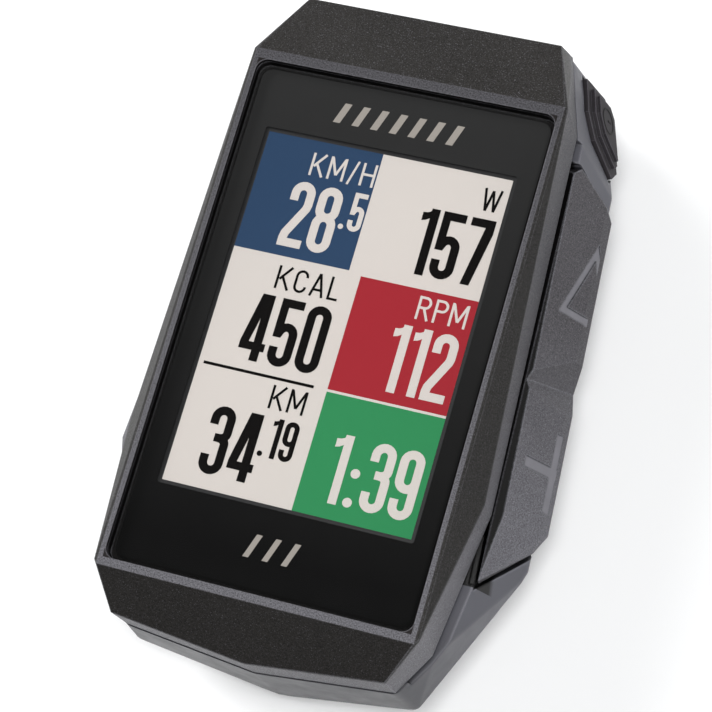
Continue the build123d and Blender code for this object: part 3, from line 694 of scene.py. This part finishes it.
paper = printed("screen_paper", PAPER)
ink = printed("screen_ink", INK)
light_ink = printed("screen_light", PAPER)
print_grey = printed("print_grey", PRINT_GREY, 0.4)

screen_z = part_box("display_panel")[1].z + 0.5 * LAYER
left_x = SCREEN_CENTRE[0] - SCREEN_SIZE[0] / 2
low_y = SCREEN_CENTRE[1] - SCREEN_SIZE[1] / 2


def screen_box(x0, x1, y0, y1):
    """A rectangle given as shares of the screen's width and height."""
    xs = [left_x + SCREEN_SIZE[0] * x for x in (x0, x1)]
    ys = [low_y + SCREEN_SIZE[1] * y for y in (y0, y1)]
    return [(xs[0], ys[0]), (xs[1], ys[0]), (xs[1], ys[1]), (xs[0], ys[1])]


def on_screen(name, polygons, layer, material):
    """Adds one displayed piece, on a layer counted from the panel."""
    low = screen_z + layer * LAYER
    piece = plate(name, polygons, low, low + 1.2 * LAYER, material)
    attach(piece, "case")


on_screen("screen_background", [screen_box(0, 1, 0, 1)], 0, paper)
CELLS = {  # left, right, bottom and top, as shares of the screen, and the colour
    "speed": ((0.0, 0.474, 0.664, 1.0), BLUE),
    "cadence": ((0.526, 1.0, 0.336, 0.655), RED),
    "time": ((0.526, 1.0, 0.0, 0.329), GREEN),
}
for name, (box, colour) in CELLS.items():
    on_screen(f"screen_{name}_cell", [screen_box(*box)], 1, printed(f"cell_{name}", colour))
on_screen("screen_divider", [screen_box(0.021, 0.472, 0.329, 0.337)], 1, ink)

VALUE_HEIGHT = 7.05 * MM
SMALL_HEIGHT = 4.1 * MM
LABEL_HEIGHT = 2.45 * MM
VALUE_GAP = 0.06  # between characters, as shares of their height
SMALL_GAP = 0.07
LABEL_GAP = 0.15
LABEL_RISE = VALUE_HEIGHT + 0.8 * MM  # from the foot of a value to the foot of its label
LOW_ROW, MIDDLE_ROW, TOP_ROW = [low_y + SCREEN_SIZE[1] * share for share in (0.041, 0.364, 0.692)]
LEFT_COLUMN, RIGHT_COLUMN = [left_x + SCREEN_SIZE[0] * share for share in (0.468, 0.978)]


def value(name, text, row, edge, material):
    """A large number that stands on a row and ends at edge."""
    shapes = word(text, digit, VALUE_GAP, VALUE_HEIGHT, edge, row)
    on_screen(f"screen_{name}_value", shapes, 2, material)


def small_value(name, text, row, edge, material):
    """Decimals, level with the top of the large number."""
    base = row + VALUE_HEIGHT - SMALL_HEIGHT
    shapes = word(text, digit, SMALL_GAP, SMALL_HEIGHT, edge, base)
    on_screen(f"screen_{name}_decimals", shapes, 2, material)


def label(name, text, row, edge, material):
    """A unit, above the large number."""
    shapes = word(text, letter, LABEL_GAP, LABEL_HEIGHT, edge, row + LABEL_RISE)
    on_screen(f"screen_{name}_label", shapes, 2, material)


value("speed", "28", TOP_ROW, LEFT_COLUMN - 2.55 * MM, light_ink)
small_value("speed", ".5", TOP_ROW, LEFT_COLUMN, light_ink)
label("speed", "KM/H", TOP_ROW, LEFT_COLUMN, light_ink)
value("power", "157", TOP_ROW, RIGHT_COLUMN + 0.1 * MM, ink)
label("power", "W", TOP_ROW, RIGHT_COLUMN, ink)
value("energy", "450", MIDDLE_ROW, LEFT_COLUMN - 0.1 * MM, ink)
label("energy", "KCAL", MIDDLE_ROW, LEFT_COLUMN - 0.2 * MM, ink)
value("cadence", "112", MIDDLE_ROW, RIGHT_COLUMN - 0.1 * MM, light_ink)
label("cadence", "RPM", MIDDLE_ROW, RIGHT_COLUMN - 0.1 * MM, light_ink)
value("distance", "34", LOW_ROW, LEFT_COLUMN - 3.5 * MM, ink)
small_value("distance", ".19", LOW_ROW, LEFT_COLUMN, ink)
label("distance", "KM", LOW_ROW, LEFT_COLUMN - 0.2 * MM, ink)
value("time", "1:39", LOW_ROW, RIGHT_COLUMN - 0.1 * MM, light_ink)

# ---- Print behind the lens -----------------------------------------------------------------

lens_low, lens_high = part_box("cover_lens")
mask_z = lens_low.z + 0.005 * MM
mask_inset = 0.05 * MM  # from the edge of the lens to the edge of its print
mask_size = [2 * (half - mask_inset) for half in (lens_high.x, lens_high.y)]
mask_outline = rounded(*mask_size, 1.15 * MM)
window = [(x + SCREEN_CENTRE[0], y + SCREEN_CENTRE[1]) for x, y in rounded(*MASK_WINDOW, 0.3 * MM)]
mask = plate("lens_mask", [mask_outline], mask_z, mask_z + LAYER, mask_black, hole=window)
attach(mask, "case")


def slanted_bars(count, width, height, gap, centre_y):
    """A plain row of slanted bars, printed behind the lens in place of any name."""
    lean = 0.35 * height  # sideways, from a bar's foot to its top
    bars = []
    start = -(count * width + (count - 1) * gap) / 2
    for i in range(count):
        x = start + i * (width + gap)
        corners = [(x, -0.5), (x + width, -0.5), (x + width, 0.5), (x, 0.5)]
        bars.append([(cx + lean * cy, centre_y + height * cy) for cx, cy in corners])
    return bars


PRINTS = {  # number of bars, then their width, height, gap and centre in millimetres
    "upper_print": (7, 0.75, 2.2, 1.25, 23.2),
    "lower_print": (3, 0.6, 2.4, 1.4, -22.1),
}
for name, (count, *sizes) in PRINTS.items():
    shapes = slanted_bars(count, *[size * MM for size in sizes])
    piece = plate(name, shapes, mask_z + 1.2 * LAYER, mask_z + 2.2 * LAYER, print_grey)
    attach(piece, "case")

# ---- Symbol on the power button ------------------------------------------------------------

SYMBOL_RADIUS = 1.35 * MM
SYMBOL_STROKE = 0.24 * MM
SYMBOL_HEIGHTS = (-0.1 * MM, 0.06 * MM)  # sunk into the button's top, and proud of it
facing = Vector(POWER_NORMAL).normalized()
sideways = Vector((-facing.y, facing.x, 0)).normalized()
button_turn = Matrix((sideways, facing.cross(sideways), facing)).transposed().to_4x4()
ring = arc((0, 0), (SYMBOL_RADIUS, SYMBOL_RADIUS), 0, 360, 32)[:-1]
bar = [(0, 0.1 * MM), (0, -0.75 * MM)]
symbol_rubber = soft_rubber("symbol_rubber", "#0f0d0e", "#1c1a1b")
symbol = plate(
    "power_symbol", ribbon(ring, SYMBOL_STROKE, closed=True) + ribbon(bar, SYMBOL_STROKE),
    *SYMBOL_HEIGHTS, symbol_rubber, Matrix.Translation(SYMBOL_CENTRE) @ button_turn,
)
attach(symbol, "power_button")

# ---- Softened ridges -----------------------------------------------------------------------

RIDGE_WIDTHS = {
    "front_bezel": 0.15 * MM, "front_frame": 0.12 * MM, "right_key": 0.2 * MM, "left_key": 0.2 * MM,
}
for name, width in RIDGE_WIDTHS.items():
    soften(name, width)

# ---- Studio --------------------------------------------------------------------------------


def softbox(name, place, size, power):
    """A rectangular light at a place, facing the origin."""
    lamp = bpy.data.lights.new(name, "AREA")
    lamp.shape = "RECTANGLE"
    lamp.size, lamp.size_y = size
    lamp.energy = power
    made = bpy.data.objects.new(name, lamp)
    made.location = place
    made.rotation_mode = "QUATERNION"
    made.rotation_quaternion = (-Vector(place)).to_track_quat("-Z", "Y")
    bpy.context.scene.collection.objects.link(made)


softbox("key_light", (-0.78, 0.30, 0.62), (0.6, 0.5), 7.6)
softbox("top_light", (0.22, -0.12, 0.97), (0.5, 0.5), 8.2)
softbox("side_fill", (0.75, 0.05, 0.3), (0.6, 0.3), 1.5)

FLOOR_REACH = 3.0
floor_mesh = bpy.data.meshes.new("floor")
corners = [(FLOOR_REACH * x, FLOOR_REACH * y, 0) for x, y in ((-1, -1), (1, -1), (1, 1), (-1, 1))]
floor_mesh.from_pydata(corners, [], [(0, 1, 2, 3)])
floor = bpy.data.objects.new("floor", floor_mesh)
floor.location.z = -0.1 * MM  # just clear of the foot
bpy.context.scene.collection.objects.link(floor)
floor_finish = Finish("floor_pale")
floor_tone = floor_finish.mix(floor_finish.noise(60 * MM, detail=2), "#f8f8f8", "#fdfdfd")
floor_mesh.materials.append(floor_finish.surface(Base_Color=floor_tone, Roughness=0.8))

world = bpy.data.worlds.new("studio")
bpy.context.scene.world = world
world.use_nodes = True
sky = world.node_tree.nodes["Background"]
sky.inputs["Color"].default_value = (0.9, 0.95, 1.0, 1)
sky.inputs["Strength"].default_value = 0.14
bpy.context.scene.view_settings.view_transform = "Standard"

CAMERA_PLACE = (70.86 * MM, -61.133 * MM, 264.242 * MM)
CAMERA_ANGLES = (17.189, 11.341, 16.309)  # degrees about X, then Y, then Z
camera_data = bpy.data.cameras.new("camera")
camera_data.sensor_width = 36
camera_data.lens = 132.97
camera_data.clip_start = 0.01
camera = bpy.data.objects.new("camera", camera_data)
bpy.context.scene.collection.objects.link(camera)
turn = Euler([math.radians(angle) for angle in CAMERA_ANGLES], "XYZ").to_matrix().to_4x4()
camera.matrix_world = Matrix.Translation(CAMERA_PLACE) @ turn
bpy.context.scene.camera = camera
